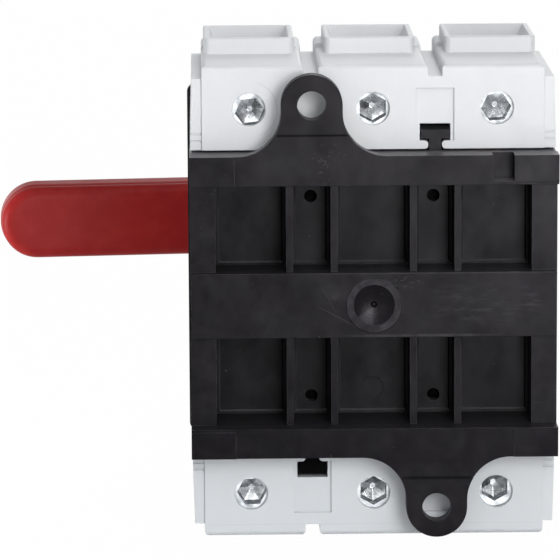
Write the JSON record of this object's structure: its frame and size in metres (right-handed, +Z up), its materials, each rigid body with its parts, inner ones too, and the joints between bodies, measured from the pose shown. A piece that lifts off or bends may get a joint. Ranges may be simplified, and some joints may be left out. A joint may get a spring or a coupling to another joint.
{
  "type": "safety disconnect switch",
  "caption": "Panel disconnect switch with a ribbed black mounting base, grey terminal shrouds with cable funnels, a sliding contact carrier and a long red turning handle.",
  "frame": {"origin": "midway between the two mounting holes, on the plane of the mounting surface", "axes": "+Y into the mounting surface, +Z up towards the line terminals, +X to the right seen from the front, where the handle points when the switch is off"},
  "size_m": [0.1412, 0.1577, 0.124],
  "materials": {
    "black_plastic": "moulded, satin",
    "grey_plastic": "moulded, fine matt",
    "body_plastic": "moulded, matt",
    "seal_rubber": "matt",
    "spring_steel": "bright",
    "zinc_steel": "zinc plated",
    "plain_steel": "cold rolled",
    "dark_steel": "blackened",
    "red_plastic": "moulded, satin",
    "drum_plastic": "natural nylon",
    "carrier_plastic": "glass filled, matt",
    "slide_plastic": "moulded, satin",
    "copper": "copper, lightly tarnished"
  },
  "bodies": {
    "frame": {"base": "black_plastic", "line_shroud": "grey_plastic", "load_shroud": "grey_plastic", "switch_body": "body_plastic", "drive_cover": "body_plastic", "panel_gasket": "seal_rubber", "front_plate": "body_plastic", "shaft_seal": "seal_rubber", "detent_springs": "spring_steel", "line_contact_1": "copper", "line_contact_2": "copper", "line_contact_3": "copper", "load_contact_1": "copper", "load_contact_2": "copper", "load_contact_3": "copper", "line_clamp_1": "zinc_steel", "line_clamp_2": "zinc_steel", "line_clamp_3": "zinc_steel", "load_clamp_1": "zinc_steel", "load_clamp_2": "zinc_steel", "load_clamp_3": "zinc_steel", "line_screws": "zinc_steel", "load_screws": "zinc_steel", "line_arc_plates": "plain_steel", "load_arc_plates": "plain_steel", "assembly_screws": "dark_steel", "plate_screws": "zinc_steel"},
    "rotor": {"handle": "red_plastic", "handle_screw": "zinc_steel", "drive_shaft": "zinc_steel", "cam_drum": "drum_plastic"},
    "carrier": {"contact_carrier": "carrier_plastic", "drive_pins": "spring_steel", "contact_springs": "spring_steel", "contact_bridge_1": "copper", "contact_bridge_2": "copper", "contact_bridge_3": "copper"},
    "lock": {"padlock_slide": "slide_plastic"}
  },
  "joints": [
    {"name": "handle_turn", "type": "hinge", "parent": "frame", "child": "rotor", "pos_m": [0, -0.08, 0], "axis": [0, -1, 0], "range_deg": [0, 90], "deforming": ["detent_springs"]},
    {"name": "carrier_slide", "type": "slide", "parent": "frame", "child": "carrier", "axis": [0, -1, 0], "range_m": [0, 0.007]},
    {"name": "lock_slide", "type": "slide", "parent": "rotor", "child": "lock", "axis": [-1, 0, 0], "range_m": [0, 0.01]}
  ],
  "couplings": [
    {"joint": "carrier_slide", "follows": "handle_turn", "m_per_rad": 0.004456}
  ]
}
